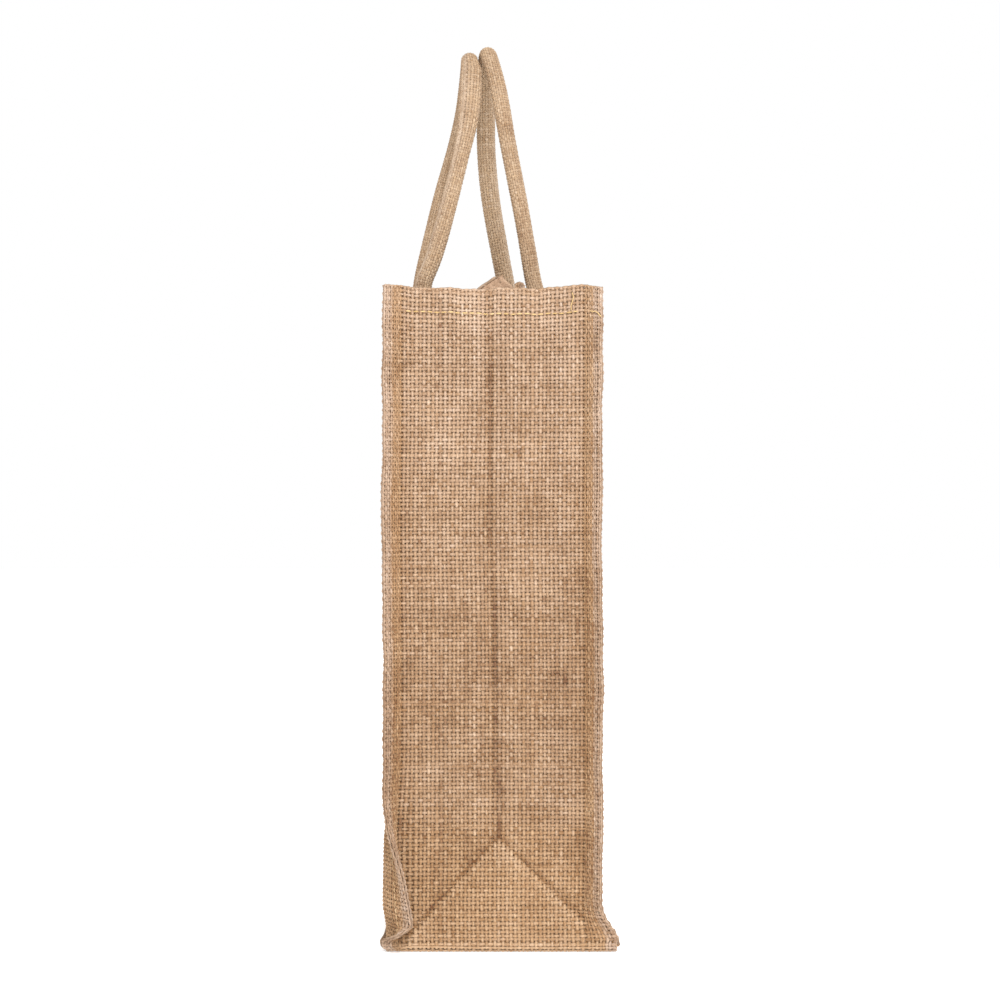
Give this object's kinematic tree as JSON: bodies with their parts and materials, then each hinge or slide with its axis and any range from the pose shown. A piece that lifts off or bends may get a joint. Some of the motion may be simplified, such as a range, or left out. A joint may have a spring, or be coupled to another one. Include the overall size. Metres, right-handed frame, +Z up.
{
  "type": "wine gift bag",
  "caption": "Tall square-based bag of open-weave jute for a single bottle, with outward seam ridges, a turned-in hem and padded webbing carrying handles that swing over the rim.",
  "frame": {"origin": "centre of the base's underside, on the surface the bag stands on", "axes": "+Z up; the near gusset faces -Y and the far gusset +Y; the front panel faces -X and the back panel +X"},
  "size_m": [0.1224, 0.1164, 0.4867],
  "materials": {
    "jute": "open plain weave, matte",
    "webbing": "close woven webbing, matte",
    "rope": "twisted cotton, matte",
    "thread": "spun jute thread"
  },
  "bodies": {
    "bag": {"gusset_strip": "jute", "front_panel": "jute", "back_panel": "jute", "front_seam_thread": "thread", "back_seam_thread": "thread", "hem_thread": "thread", "front_handle_near_end": "webbing", "front_handle_far_end": "webbing", "back_handle_near_end": "webbing", "back_handle_far_end": "webbing", "front_near_end_stitch": "thread", "front_far_end_stitch": "thread", "back_near_end_stitch": "thread", "back_far_end_stitch": "thread"},
    "front_handle": {"front_handle_cover": "webbing", "front_handle_core": "rope", "front_handle_closing_thread": "thread"},
    "back_handle": {"back_handle_cover": "webbing", "back_handle_core": "rope", "back_handle_closing_thread": "thread"}
  },
  "joints": [
    {"name": "front_handle_swing", "type": "hinge", "parent": "bag", "child": "front_handle", "pos_m": [-0.0458, 0, 0.352], "axis": [0.084, -0.9965, 0], "range_deg": [0, 180]},
    {"name": "back_handle_swing", "type": "hinge", "parent": "bag", "child": "back_handle", "pos_m": [0.02135, 0.0018, 0.352], "axis": [-0.2785, 0.9604, 0], "range_deg": [0, 165]}
  ]
}
